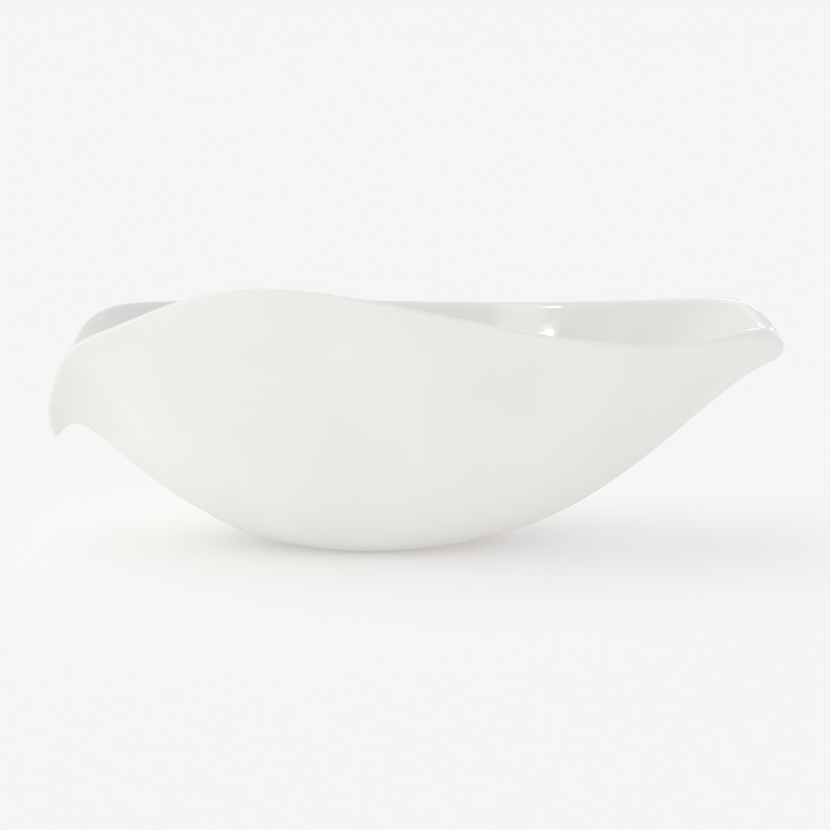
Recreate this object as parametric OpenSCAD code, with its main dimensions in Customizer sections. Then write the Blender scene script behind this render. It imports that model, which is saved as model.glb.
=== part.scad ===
// Evaporating dish in porcelain: a leaf-shaped bowl on a flat ground base, with a high crest on one
// side, a hanging pouring lip at the -X end and a thick rounded tail at the +X end.
// Millimetres, +Z up. The origin is the centre of the flat base.

/* [Size] */
// Length over the pouring lip and the tail
dish_length = 202; // [180:1:220]
// Width across the middle
dish_width = 98; // [90:1:110]
// Height of the crest above the table
crest_height = 75; // [70:1:84]

/* [Flat base] */
// Length of the ground flat
base_length = 42; // [36:1:50]
// Width of the ground flat
base_width = 34; // [28:1:40]

/* [Wall] */
// Wall thickness just above the base
foot_thickness = 3.4; // [2.8:0.1:4]
// Wall thickness at the rim
rim_thickness = 1.6; // [1.4:0.1:2.2]
// Thickness of the rounded tail
tail_thickness = 8; // [6:0.5:9]
// Slope of the side walls where they meet the rim, in degrees
side_slope = 75.5; // [70:0.5:80]
// Slope of the tail where it meets the rim, in degrees
tail_slope = 23; // [18:1:30]
// Slope of the pouring lip at its edge, in degrees (negative hangs down)
lip_slope = -56; // [-60:1:-40]

/* [Glaze] */
// Thickness of the glaze coat
glaze_thickness = 0.3; // [0.2:0.05:0.4]

/* [Detail] */
// Columns round the dish
columns = 96; // [72:12:120]
// Rings up the wall
rings = 14; // [10:1:16]

/* [Hidden] */

glaze_color = [0.93, 0.96, 0.94];
body_color = [0.94, 0.94, 0.92];

// The rim's control points at the nominal size: distance along the dish, half width, and the height
// of the rim on the front (-Y) and on the back (+Y). The rim is a smooth curve drawn through their middle.
stations = [
    [108, 17.5, 58, 61],
    [96.5, 28.5, 59, 62.5],
    [75.5, 37, 57, 61],
    [47.5, 45, 61.5, 59.5],
    [15.5, 49.5, 68.5, 59],
    [-18.5, 49, 75.5, 60],
    [-44.5, 41, 73, 60.5],
    [-64.5, 32, 63, 61.5],
    [-79.5, 22, 57, 61],
    [-84.5, 14, 46.5, 50],
    [-88, 7.5, 35, 33]
];
tail_end = [112.5, 0, 46];
lip_end = [-85.5, 0, 26.5];
stretch = [dish_length / 202, dish_width / 98, crest_height / 75];

control = [
    for (p = concat(
        [tail_end],
        [for (s = stations) [s[0], -s[1], s[2]]],
        [lip_end],
        [for (i = [len(stations) - 1:-1:0]) [stations[i][0], stations[i][1], stations[i][3]]]
    )) [p.x * stretch.x, p.y * stretch.y, p.z * stretch.z]
];

// One point on the closed smooth curve (a uniform cubic B-spline); u counts control points.
function curve(points, u) =
    let (n = len(points), i = floor(u), f = u - i)
    (pow(1 - f, 3) * points[(i + n - 1) % n]
        + (3 * pow(f, 3) - 6 * pow(f, 2) + 4) * points[i % n]
        + (-3 * pow(f, 3) + 3 * pow(f, 2) + 3 * f + 1) * points[(i + 1) % n]
        + pow(f, 3) * points[(i + 2) % n]) / 6;

function unit(v) = v / norm(v);

rim = [for (j = [0:columns - 1]) curve(control, j * len(control) / columns)];

// Direction of each column as seen from above: 0 at the tail, 180 at the pouring lip.
heading = [for (p = rim) atan2(p.y / dish_width, p.x / dish_length)];

// A value that changes round the dish: v is [at the sides, at the tail, at the pouring lip], and a
// higher power keeps the tail's value, or the lip's, to a narrower part of the wall.
function around(a, v, powers) =
    v[0] + (v[1] - v[0]) * pow((1 + cos(a)) / 2, powers[0]) + (v[2] - v[0]) * pow((1 - cos(a)) / 2, powers[1]);

narrow = [11.5, 19.5];
broad = [3.3, 5];
foot_slope = 8;

// Each column of the outside wall is one cubic curve from the base to the rim: its four control points.
function column(j) =
    let (
        a = heading[j],
        foot = [base_length / 2 * cos(a), base_width / 2 * sin(a), 0],
        reach = norm([rim[j].x - foot.x, rim[j].y - foot.y]),
        out = unit([rim[j].x - foot.x, rim[j].y - foot.y]),
        belly = reach * around(a, [0.73, 0.57, 0.7], broad),
        slope = around(a, [side_slope, tail_slope, lip_slope], narrow),
        flare = norm(rim[j] - foot) * around(a, [0.42, 0.235, 0.235], broad)
    )
    [
        foot,
        foot + belly * [out.x * cos(foot_slope), out.y * cos(foot_slope), sin(foot_slope)],
        rim[j] - flare * [out.x * cos(slope), out.y * cos(slope), sin(slope)],
        rim[j]
    ];

function along(c, s) =
    pow(1 - s, 3) * c[0] + 3 * pow(1 - s, 2) * s * c[1] + 3 * (1 - s) * pow(s, 2) * c[2] + pow(s, 3) * c[3];

function rising(c, s) =
    unit(pow(1 - s, 2) * (c[1] - c[0]) + 2 * (1 - s) * s * (c[2] - c[1]) + pow(s, 2) * (c[3] - c[2]));

walls = [for (j = [0:columns - 1]) column(j)];
steps = [for (i = [0:rings]) i / rings];

function outside(s) = [for (c = walls) along(c, s)];

// Unit normals of the outside wall, pointing into the bowl.
function inward(s) =
    let (ring = outside(s))
    [
        for (j = [0:columns - 1])
            unit(cross(
                ring[(j + 1) % columns] - ring[(j + columns - 1) % columns],
                rising(walls[j], s)
            ))
    ];

function thickness(j, s) =
    rim_thickness + (foot_thickness - rim_thickness) * pow(1 - s, 1.5)
        + (tail_thickness - rim_thickness) * exp(-pow(heading[j] / 26, 2)) * pow(s, 8);

// The inside face of the biscuit, lifted by a share of the glaze coat.
function inside(s, coat) =
    let (ring = outside(s), normals = inward(s))
    [
        for (j = [0:columns - 1])
            ring[j] + normals[j] * (thickness(j, s) - glaze_thickness * (1 - coat))
    ];

// The rounded rim: turn goes from 0 on the outside, over the top at 90, to 180 on the inside.
function rounded(turn, coat) =
    let (ring = outside(1), normals = inward(1))
    [
        for (j = [0:columns - 1])
            let (half = (thickness(j, 1) - glaze_thickness) / 2)
            ring[j] + half * normals[j]
                + (half + glaze_thickness * coat)
                    * (sin(turn) * rising(walls[j], 1) - cos(turn) * normals[j])
    ];

// The floor dishes gently from the foot of the wall to its lowest point in the middle.
floor_dip = 1.2;
function floor_centre(coat) = [0, 0, foot_thickness - floor_dip - glaze_thickness * (1 - coat)];
function floor_ring(f, coat) =
    let (edge = inside(0, coat), centre = floor_centre(coat))
    [for (p = edge) [p.x * f, p.y * f, centre.z + (p.z - centre.z) * pow(f, 2)]];

floor_steps = [0.25, 0.5, 0.75];
rim_turns = [30, 60, 90, 120, 150];
glaze_turns = [75, 90, 120, 150];

// The glaze thins out where it stops, just over the top of the rim.
function coat_at(turn) = min(1, 0.2 + (turn - glaze_turns[0]) / 60);

// From the middle of the floor, up the inside wall and over the rim.
function lining(turns, coat_at_rim) = concat(
    [for (f = floor_steps) floor_ring(f, coat_at_rim ? 1 : 0)],
    [for (s = steps) inside(s, coat_at_rim ? 1 : 0)],
    [for (i = [len(turns) - 1:-1:0]) rounded(turns[i], coat_at_rim ? coat_at(turns[i]) : 0)]
);

// A closed skin: a first point, rings of points, and a last point.
module skin(first, loops, last) {
    points = concat([first], [for (loop = loops) each loop], [last]);
    n = columns;
    top = len(points) - 1;
    faces = concat(
        [for (j = [0:n - 1]) [0, 1 + j, 1 + (j + 1) % n]],
        [
            for (i = [0:len(loops) - 2], j = [0:n - 1])
                let (a = 1 + i * n + j, b = 1 + i * n + (j + 1) % n)
                each [[a, a + n, b], [b, a + n, b + n]]
        ],
        [for (j = [0:n - 1]) [top, top - n + (j + 1) % n, top - n + j]]
    );
    polyhedron(points = points, faces = faces, convexity = 6);
}

module porcelain_body() {
    outer = [for (i = [rings:-1:0]) outside(steps[i])];
    color(body_color)
        skin(floor_centre(0), concat(lining(rim_turns, false), outer), [0, 0, 0]);
}

module inner_glaze() {
    face = lining(glaze_turns, true);
    back = lining(glaze_turns, false);
    reversed = [for (i = [len(back) - 1:-1:0]) back[i]];
    color(glaze_color)
        skin(floor_centre(1), concat(face, reversed), floor_centre(0));
}

porcelain_body();
inner_glaze();
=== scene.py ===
"""The porcelain evaporating dish: a satin biscuit body with a glossy coat fused to its inside.

Metres, +Z up, in the CAD model's frame: the origin is the centre of the flat base.
"""

import math

import bpy
import numpy as np
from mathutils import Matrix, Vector


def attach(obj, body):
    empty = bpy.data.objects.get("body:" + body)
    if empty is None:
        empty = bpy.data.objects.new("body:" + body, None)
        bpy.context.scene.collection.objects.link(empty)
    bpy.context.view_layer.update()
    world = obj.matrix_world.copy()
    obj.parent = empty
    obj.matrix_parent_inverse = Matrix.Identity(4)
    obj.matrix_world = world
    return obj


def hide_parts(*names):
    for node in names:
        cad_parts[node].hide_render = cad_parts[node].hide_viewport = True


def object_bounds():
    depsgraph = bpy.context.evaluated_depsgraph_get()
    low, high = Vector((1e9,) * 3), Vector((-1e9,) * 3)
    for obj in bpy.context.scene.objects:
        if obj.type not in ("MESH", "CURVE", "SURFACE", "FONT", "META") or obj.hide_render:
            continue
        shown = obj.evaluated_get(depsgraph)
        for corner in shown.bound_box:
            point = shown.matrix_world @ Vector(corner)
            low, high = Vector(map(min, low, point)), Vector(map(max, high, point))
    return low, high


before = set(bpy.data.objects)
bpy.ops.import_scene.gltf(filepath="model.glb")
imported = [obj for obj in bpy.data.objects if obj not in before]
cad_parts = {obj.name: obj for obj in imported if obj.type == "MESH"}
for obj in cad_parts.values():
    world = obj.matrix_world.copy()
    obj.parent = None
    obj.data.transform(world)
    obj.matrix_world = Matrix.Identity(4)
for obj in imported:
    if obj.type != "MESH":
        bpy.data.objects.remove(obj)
cad_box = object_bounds()

MM = 0.001

# Detail of the meshes: columns round the dish, rings up the wall and over the bowl's floor.
COLUMNS = 384
RINGS = 72
FLOOR_RINGS = 12
# Degrees between the rings that round the rim.
RIM_TURN = 15
# Faces that meet at more than this keep a sharp edge between them.
SHARP_EDGE = math.radians(40)

# ---------------------------------------------------------------- shape

DISH_WIDTH = 98 * MM
DISH_LENGTH = 202 * MM
BASE_LENGTH = 42 * MM
BASE_WIDTH = 34 * MM
FOOT_THICKNESS = 3.4 * MM
RIM_THICKNESS = 1.6 * MM
TAIL_THICKNESS = 8 * MM
GLAZE_THICKNESS = 0.3 * MM
FLOOR_DIP = 1.2 * MM
# The wall thickens within about this many degrees of the tail, seen from above.
TAIL_SPREAD = 26

# Round the rim, in degrees from the outside: where the glaze stops, the share of its thickness it
# has there, and how far round it would take to gain a whole thickness.
GLAZE_EDGE = 75
GLAZE_EDGE_SHARE = 0.2
GLAZE_FEATHER = 60

# Slopes where the wall meets the rim, in degrees: at the sides, the tail and the pouring lip.
RIM_SLOPES = (75.5, 23, -56)
FOOT_SLOPE = math.radians(8)
# How far the wall's curve runs out from the base, as shares of the level distance to the rim, and
# back down from the rim, as shares of the straight distance: at the sides, the tail and the lip.
BELLY = (0.73, 0.57, 0.7)
FLARE = (0.42, 0.235, 0.235)
# How closely a value keeps to the tail and to the lip, as powers for around().
NARROW = (11.5, 19.5)
BROAD = (3.3, 5)

# The rim's control points: distance along the dish, half width, height in front, height behind.
STATIONS = MM * np.array([
    [108, 17.5, 58, 61],
    [96.5, 28.5, 59, 62.5],
    [75.5, 37, 57, 61],
    [47.5, 45, 61.5, 59.5],
    [15.5, 49.5, 68.5, 59],
    [-18.5, 49, 75.5, 60],
    [-44.5, 41, 73, 60.5],
    [-64.5, 32, 63, 61.5],
    [-79.5, 22, 57, 61],
    [-84.5, 14, 46.5, 50],
    [-88, 7.5, 35, 33],
])
TAIL_END = MM * np.array([[112.5, 0, 46]])
LIP_END = MM * np.array([[-85.5, 0, 26.5]])


def unit(v):
    return v / np.linalg.norm(v, axis=-1, keepdims=True)


def rim_curve():
    """The rim: a closed uniform cubic B-spline, one point for each column."""
    x, half_width, front, back = STATIONS.T
    near = np.column_stack([x, -half_width, front])
    far = np.column_stack([x, half_width, back])[::-1]
    control = np.vstack([TAIL_END, near, LIP_END, far])
    u = np.arange(COLUMNS) * len(control) / COLUMNS
    first = np.floor(u).astype(int)
    f = (u - first)[:, None]
    weights = [
        (1 - f) ** 3,
        3 * f ** 3 - 6 * f ** 2 + 4,
        -3 * f ** 3 + 3 * f ** 2 + 3 * f + 1,
        f ** 3,
    ]
    corners = [control[(first + k) % len(control)] for k in (-1, 0, 1, 2)]
    return sum(w * c for w, c in zip(weights, corners)) / 6


RIM = rim_curve()
HEADING = np.arctan2(RIM[:, 1] / DISH_WIDTH, RIM[:, 0] / DISH_LENGTH)[:, None]


def around(values, powers):
    """A value for each column, from its value at the sides, at the tail and at the lip."""
    side, tail, lip = values
    to_tail = ((1 + np.cos(HEADING)) / 2) ** powers[0]
    to_lip = ((1 - np.cos(HEADING)) / 2) ** powers[1]
    return side + (tail - side) * to_tail + (lip - side) * to_lip


def lean(out, angle):
    """A direction that points outwards along out and rises by angle."""
    return np.hstack([out * np.cos(angle), np.sin(angle) * np.ones_like(HEADING)])


def wall_curves():
    """The outside wall: four control points of a cubic curve for each column."""
    foot = np.hstack([
        BASE_LENGTH / 2 * np.cos(HEADING),
        BASE_WIDTH / 2 * np.sin(HEADING),
        0 * HEADING,
    ])
    across = (RIM - foot)[:, :2]
    out = unit(across)
    reach = np.linalg.norm(across, axis=1)[:, None]
    straight = np.linalg.norm(RIM - foot, axis=1)[:, None]
    belly = reach * around(BELLY, BROAD)
    flare = straight * around(FLARE, BROAD)
    slope = np.radians(around(RIM_SLOPES, NARROW))
    return foot, foot + belly * lean(out, FOOT_SLOPE), RIM - flare * lean(out, slope), RIM


WALL = wall_curves()


def outside(s):
    """A ring of the outside wall: s goes from 0 at the base to 1 at the rim."""
    a, b, c, d = WALL
    return (1 - s) ** 3 * a + 3 * (1 - s) ** 2 * s * b + 3 * (1 - s) * s ** 2 * c + s ** 3 * d


def rising(s):
    """Unit tangents of the outside wall, pointing up each column."""
    a, b, c, d = WALL
    return unit((1 - s) ** 2 * (b - a) + 2 * (1 - s) * s * (c - b) + s ** 2 * (d - c))


def inward(s):
    """Unit normals of the outside wall, pointing into the bowl."""
    ring = outside(s)
    along_ring = np.roll(ring, -1, axis=0) - np.roll(ring, 1, axis=0)
    return unit(np.cross(along_ring, rising(s)))


def thickness(s):
    """Biscuit and glaze together: thickest at the foot and at the tail's rim."""
    near_tail = np.exp(-(np.degrees(HEADING) / TAIL_SPREAD) ** 2)
    return (
        RIM_THICKNESS
        + (FOOT_THICKNESS - RIM_THICKNESS) * (1 - s) ** 1.5
        + (TAIL_THICKNESS - RIM_THICKNESS) * near_tail * s ** 8
    )


def inside(s, coat):
    """The inside face of the biscuit, lifted by a share of the glaze coat."""
    return outside(s) + inward(s) * (thickness(s) - GLAZE_THICKNESS * (1 - coat))


def rounded(turn, coat):
    """The rounded rim: turn goes from 0 on the outside, over the top, to 180 on the inside."""
    angle = math.radians(turn)
    half = (thickness(1) - GLAZE_THICKNESS) / 2
    over = math.sin(angle) * rising(1) - math.cos(angle) * inward(1)
    return outside(1) + half * inward(1) + (half + GLAZE_THICKNESS * coat) * over


def floor_centre(coat):
    return np.array([0, 0, FOOT_THICKNESS - FLOOR_DIP - GLAZE_THICKNESS * (1 - coat)])


def floor_ring(f, coat):
    """A ring of the dished floor: f goes from 0 in the middle to 1 at the foot of the wall."""
    edge = inside(0, coat)
    centre = floor_centre(coat)
    ring = edge * f
    ring[:, 2] = centre[2] + (edge[:, 2] - centre[2]) * f ** 2
    return ring


def coat_at(turn):
    """The share of the glaze left where it thins out over the top of the rim."""
    return min(1, GLAZE_EDGE_SHARE + (turn - GLAZE_EDGE) / GLAZE_FEATHER)


# A mesh attribute that the glaze reads: 1 on top of the rim, falling to 0 at RIM_BAND from it.
# Where it is 1 the thin glaze is paler, without the painted shade of the bowl's glaze.
RIM_SHARE = "rim_share"
RIM_BAND = 3 * MM
RIM_TOP = rounded(90, 1)
STEPS = np.linspace(0, 1, RINGS + 1)
FLOOR_STEPS = np.linspace(0, 1, FLOOR_RINGS + 1)[1:-1]


def lining(turns, coat):
    """Rings from the middle of the floor, up the inside wall and over the rim."""
    rings = [floor_ring(f, coat) for f in FLOOR_STEPS]
    rings += [inside(s, coat) for s in STEPS]
    rings += [rounded(turn, coat * coat_at(turn)) for turn in turns]
    return rings


def distance_to_rim(points):
    """How far each point is from the top of the nearest column's rim."""
    return np.array([np.linalg.norm(RIM_TOP - p, axis=1).min() for p in points])


def skin(name, first, rings, last):
    """A closed mesh: a first point, rings of points and a last point."""
    points = np.vstack([first, *rings, last])
    end = len(points) - 1
    here = np.arange(COLUMNS)
    following = (here + 1) % COLUMNS
    faces = [(0, 1 + b, 1 + a) for a, b in zip(here, following)]
    for ring in range(len(rings) - 1):
        start = 1 + ring * COLUMNS
        for a, b in zip(start + here, start + following):
            faces.append((a, b, b + COLUMNS, a + COLUMNS))
    faces += [(end, end - COLUMNS + a, end - COLUMNS + b) for a, b in zip(here, following)]
    mesh = bpy.data.meshes.new(name)
    mesh.from_pydata(points.tolist(), [], [tuple(map(int, face)) for face in faces])
    mesh.shade_smooth()
    mesh.set_sharp_from_angle(angle=SHARP_EDGE)
    share = mesh.attributes.new(RIM_SHARE, "FLOAT", "POINT")
    share.data.foreach_set("value", np.clip(1 - distance_to_rim(points) / RIM_BAND, 0, 1))
    piece = bpy.data.objects.new(name, mesh)
    bpy.context.scene.collection.objects.link(piece)
    return piece


def make_body():
    inner = lining(range(180 - RIM_TURN, 0, -RIM_TURN), 0)
    outer = [outside(s) for s in STEPS[::-1]]
    return skin("biscuit_body", floor_centre(0), inner + outer, [0, 0, 0])


def make_glaze():
    turns = range(180 - RIM_TURN, GLAZE_EDGE - 1, -RIM_TURN)
    face = lining(turns, 1)
    back = lining(turns, 0)
    return skin("glaze_coat", floor_centre(1), face + back[::-1], floor_centre(0))


# ---------------------------------------------------------------- materials

BISCUIT = (0.878, 0.884, 0.838)
BISCUIT_PALE = (0.900, 0.903, 0.868)
BISCUIT_GROUND = (0.80, 0.79, 0.75)
SPECK = (0.45, 0.43, 0.38)

# Painted shade: the glaze is a little darker than the biscuit for the shade inside the bowl, and
# darker still towards the bowl's floor, where it also pools thick.
GLAZE_SHADED = (0.838, 0.853, 0.817)
GLAZE_POOLED_SHADED = (0.807, 0.830, 0.797)
GLAZE_MOTTLE = (0.856, 0.861, 0.832)
# On top of the rim the glaze thins to a paler colour, without the bowl's painted shade.
GLAZE_THIN = (0.870, 0.890, 0.865)
PINHOLE = (0.50, 0.50, 0.46)

TABLE = (0.812, 0.818, 0.820)
TABLE_PALE = (0.820, 0.826, 0.828)
TABLE_GLOW = (0.231, 0.220, 0.216, 1)


def node(tree, kind, values=None, **settings):
    """Adds a shader node: settings are its options, values are its sockets' numbers or links."""
    made = tree.nodes.new(kind)
    for name, value in settings.items():
        setattr(made, name, value)
    for name, value in (values or {}).items():
        socket = made.inputs[name]
        if isinstance(value, bpy.types.NodeSocket):
            tree.links.new(value, socket)
        else:
            socket.default_value = value
    return made


def noise(tree, size, detail=2.0, stretch=(1, 1, 1)):
    """Smooth noise from 0 to 1 whose blobs are about size metres across."""
    place = node(tree, "ShaderNodeTexCoord").outputs["Object"]
    scaled = node(tree, "ShaderNodeMapping", {"Vector": place, "Scale": stretch})
    return node(
        tree,
        "ShaderNodeTexNoise",
        {"Vector": scaled.outputs["Vector"], "Scale": 1 / size, "Detail": detail},
    ).outputs["Fac"]


def ramp(tree, value, low, high, to_low=0.0, to_high=1.0):
    """Maps low..high onto to_low..to_high, and holds the ends."""
    made = node(
        tree,
        "ShaderNodeMapRange",
        {"Value": value, "From Min": low, "From Max": high, "To Min": to_low, "To Max": to_high},
        interpolation_type="SMOOTHSTEP",
    )
    return made.outputs["Result"]


def blend(tree, share, colour_a, colour_b):
    """Mixes two colours, or links to colours."""
    made = node(tree, "ShaderNodeMix", {"Factor": share}, data_type="RGBA")
    for socket, colour in ((made.inputs[6], colour_a), (made.inputs[7], colour_b)):
        if isinstance(colour, bpy.types.NodeSocket):
            tree.links.new(colour, socket)
        else:
            socket.default_value = (*colour, 1)
    return made.outputs[2]


def bump(tree, height, depth, under=None):
    """Bumps of the given depth in metres, laid over another normal."""
    values = {"Height": height, "Distance": depth, "Strength": 1.0}
    if under is not None:
        values["Normal"] = under
    return node(tree, "ShaderNodeBump", values).outputs["Normal"]


def height_above_table(tree):
    place = node(tree, "ShaderNodeTexCoord").outputs["Object"]
    return node(tree, "ShaderNodeSeparateXYZ", {"Vector": place}).outputs["Z"]


def new_tree(name):
    material = bpy.data.materials.new(name)
    material.use_nodes = True
    tree = material.node_tree
    return material, tree, tree.nodes["Principled BSDF"]


def biscuit_material():
    """Unglazed porcelain polished to a satin: faint mottling, specks and a ground flat base."""
    material, tree, shader = new_tree("biscuit_porcelain")
    mottle = ramp(tree, noise(tree, 30 * MM), 0.3, 0.7)
    colour = blend(tree, mottle, BISCUIT, BISCUIT_PALE)
    specks = ramp(tree, noise(tree, 1.1 * MM, 1.0), 0.72, 0.78, 0.0, 0.05)
    colour = blend(tree, specks, colour, SPECK)
    ground = ramp(tree, height_above_table(tree), 0.0, 0.4 * MM, 1.0, 0.0)
    colour = blend(tree, ground, colour, BISCUIT_GROUND)
    satin = ramp(tree, noise(tree, 12 * MM, 4.0), 0.35, 0.65, 0.42, 0.54)
    rough = node(tree, "ShaderNodeMath", {0: satin, 1: ground}, operation="MAXIMUM").outputs[0]
    waves = bump(tree, noise(tree, 18 * MM, 2.0), 0.12 * MM)
    grain = bump(tree, noise(tree, 0.6 * MM, 3.0), 0.012 * MM, waves)
    tree.links.new(colour, shader.inputs["Base Color"])
    tree.links.new(rough, shader.inputs["Roughness"])
    tree.links.new(grain, shader.inputs["Normal"])
    shader.inputs["IOR"].default_value = 1.5
    return material


def glaze_material():
    """Glossy clear glaze on the porcelain: greyer where it pools over the bowl, with painted shade
    there.
    """
    material, tree, shader = new_tree("clear_glaze")
    # Painted shade: darker towards the bowl's floor, where the glaze also pools thick.
    pooled_and_shaded = ramp(tree, height_above_table(tree), 58 * MM, 4 * MM)
    colour = blend(tree, pooled_and_shaded, GLAZE_SHADED, GLAZE_POOLED_SHADED)
    mottle = ramp(tree, noise(tree, 22 * MM), 0.35, 0.65, 0.0, 0.35)
    colour = blend(tree, mottle, colour, GLAZE_MOTTLE)
    # The rim band takes the painted shade off where the glaze thins over the rim.
    thin = node(tree, "ShaderNodeAttribute", attribute_name=RIM_SHARE).outputs["Fac"]
    colour = blend(tree, thin, colour, GLAZE_THIN)
    pinholes = ramp(tree, noise(tree, 1.3 * MM, 1.0), 0.73, 0.77, 0.0, 0.08)
    colour = blend(tree, pinholes, colour, PINHOLE)
    rough = ramp(tree, noise(tree, 9 * MM, 5.0), 0.35, 0.70, 0.05, 0.11)
    flow = bump(tree, noise(tree, 26 * MM, 1.0), 0.15 * MM)
    peel = bump(tree, noise(tree, 4.5 * MM, 1.0), 0.012 * MM, flow)
    tree.links.new(colour, shader.inputs["Base Color"])
    tree.links.new(rough, shader.inputs["Roughness"])
    tree.links.new(peel, shader.inputs["Normal"])
    shader.inputs["IOR"].default_value = 1.52
    return material


def floor_material():
    """A pale matt table with a little glow of its own, so that shadows on it stay light."""
    material, tree, shader = new_tree("pale_floor")
    tooth = ramp(tree, noise(tree, 4 * MM, 4.0), 0.3, 0.7)
    colour = blend(tree, tooth, TABLE, TABLE_PALE)
    tree.links.new(colour, shader.inputs["Base Color"])
    shader.inputs["Roughness"].default_value = 1.0
    shader.inputs["Specular IOR Level"].default_value = 0.0
    shader.inputs["Emission Color"].default_value = TABLE_GLOW
    shader.inputs["Emission Strength"].default_value = 1.0
    return material


# ---------------------------------------------------------------- studio

CAMERA_DISTANCE = 0.6375
CAMERA_ELEVATION = 10
TABLE_REACH = 200
LAMP_DISTANCE = 1.5

# Lamps that light only the dish: name, azimuth and elevation in degrees, width and height in
# metres, and power in watts.
SOFTBOXES = [
    ("window", -110.2, 23, 0.19, 0.27, 0.34),
    ("window_gap", -115, 20.9, 0.05, 0.03, 0.15),
    ("back_strip", 108, 48, 0.9, 0.25, 1.3),
    ("tail_glint", 70, 26, 0.30, 0.25, 0.7),
    ("left_wall", -168, 9, 1.4, 0.9, 2.6),
    ("front_fill", -90, 14, 2.6, 1.6, 3.3),
    ("small_lamp", -31, 57, 0.06, 0.06, 0.12),
]

# The room's walls and ceiling, then each side that differs, with its azimuth in degrees and its
# colour: bright at the front left, bluish on the right and dim in front.
WALLS = (0.913, 0.913, 0.913)
CEILING = (0.68, 0.68, 0.68)
SIDES = [
    (-150, (1.21, 1.24, 1.17)),
    (-15, (0.82, 0.79, 0.94)),
    (-90, (0.62, 0.62, 0.62)),
]


def direction(azimuth, elevation):
    """The unit vector towards a compass direction: azimuth runs from +X towards +Y."""
    a = math.radians(azimuth)
    e = math.radians(elevation)
    return Vector((math.cos(a) * math.cos(e), math.sin(a) * math.cos(e), math.sin(e)))


def aim(thing, place, target):
    """Puts a camera or lamp at place, looking at target."""
    thing.location = place
    thing.rotation_euler = (target - place).to_track_quat("-Z", "Y").to_euler()


def make_camera(target):
    lens = bpy.data.cameras.new("camera")
    lens.lens = 100
    lens.sensor_width = 36
    lens.clip_end = 500
    camera = bpy.data.objects.new("camera", lens)
    bpy.context.scene.collection.objects.link(camera)
    aim(camera, target + CAMERA_DISTANCE * direction(-90, CAMERA_ELEVATION), target)
    bpy.context.scene.camera = camera


def make_floor():
    mesh = bpy.data.meshes.new("floor")
    corners = [(TABLE_REACH * x, TABLE_REACH * y, 0) for x, y in ((-1, -1), (1, -1), (1, 1), (-1, 1))]
    mesh.from_pydata(corners, [], [(0, 1, 2, 3)])
    mesh.materials.append(floor_material())
    floor = bpy.data.objects.new("floor", mesh)
    bpy.context.scene.collection.objects.link(floor)


def softbox(name, azimuth, elevation, width, height, power, target, receivers):
    """A rectangular lamp that faces the dish and lights only its receivers."""
    lamp = bpy.data.lights.new(name, "AREA")
    lamp.shape = "RECTANGLE"
    lamp.size = width
    lamp.size_y = height
    lamp.energy = power
    holder = bpy.data.objects.new(name, lamp)
    bpy.context.scene.collection.objects.link(holder)
    holder.light_linking.receiver_collection = receivers
    aim(holder, target + LAMP_DISTANCE * direction(azimuth, elevation), target)


def make_sun(target):
    """A very broad lamp above, behind and to the left, which draws the soft shadow in front."""
    lamp = bpy.data.lights.new("overhead", "SUN")
    lamp.energy = 0.42
    lamp.angle = math.radians(60)
    holder = bpy.data.objects.new("overhead", lamp)
    bpy.context.scene.collection.objects.link(holder)
    aim(holder, target + direction(azimuth=155, elevation=68), target)


def side_of_room(tree, towards, azimuth):
    """1 towards a compass direction, falling to 0 at right angles to it."""
    facing = node(
        tree,
        "ShaderNodeVectorMath",
        {0: towards, 1: direction(azimuth, 0)},
        operation="DOT_PRODUCT",
    )
    return ramp(tree, facing.outputs["Value"], 0.0, 1.0)


def make_world():
    """The room all round: walls whose sides differ, under a dimmer ceiling."""
    world = bpy.data.worlds.new("studio")
    world.use_nodes = True
    tree = world.node_tree
    towards = node(tree, "ShaderNodeTexCoord").outputs["Generated"]
    up = node(tree, "ShaderNodeSeparateXYZ", {"Vector": towards}).outputs["Z"]
    walls = WALLS
    for azimuth, side in SIDES:
        walls = blend(tree, side_of_room(tree, towards, azimuth), walls, side)
    colour = blend(tree, ramp(tree, up, 0.0, 0.9), walls, CEILING)
    tree.links.new(colour, tree.nodes["Background"].inputs["Color"])
    bpy.context.scene.world = world


def make_lights(target, dish):
    make_world()
    make_sun(target)
    receivers = bpy.data.collections.new("lit_by_softboxes")
    for piece in dish:
        receivers.objects.link(piece)
    for lamp in SOFTBOXES:
        softbox(*lamp, target, receivers)


# The camera looks a little below and to the left of the middle of the dish.
centre = (cad_box[0] + cad_box[1]) / 2
view_target = centre + Vector((-0.4 * MM, 0, -3 * MM))
make_camera(view_target)
make_floor()

body = make_body()
body.data.materials.append(biscuit_material())
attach(body, "root")
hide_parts("porcelain_body")

glaze = make_glaze()
glaze.data.materials.append(glaze_material())
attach(glaze, "root")
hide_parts("inner_glaze")

make_lights(view_target, [body, glaze])
bpy.context.scene.view_settings.view_transform = "Standard"
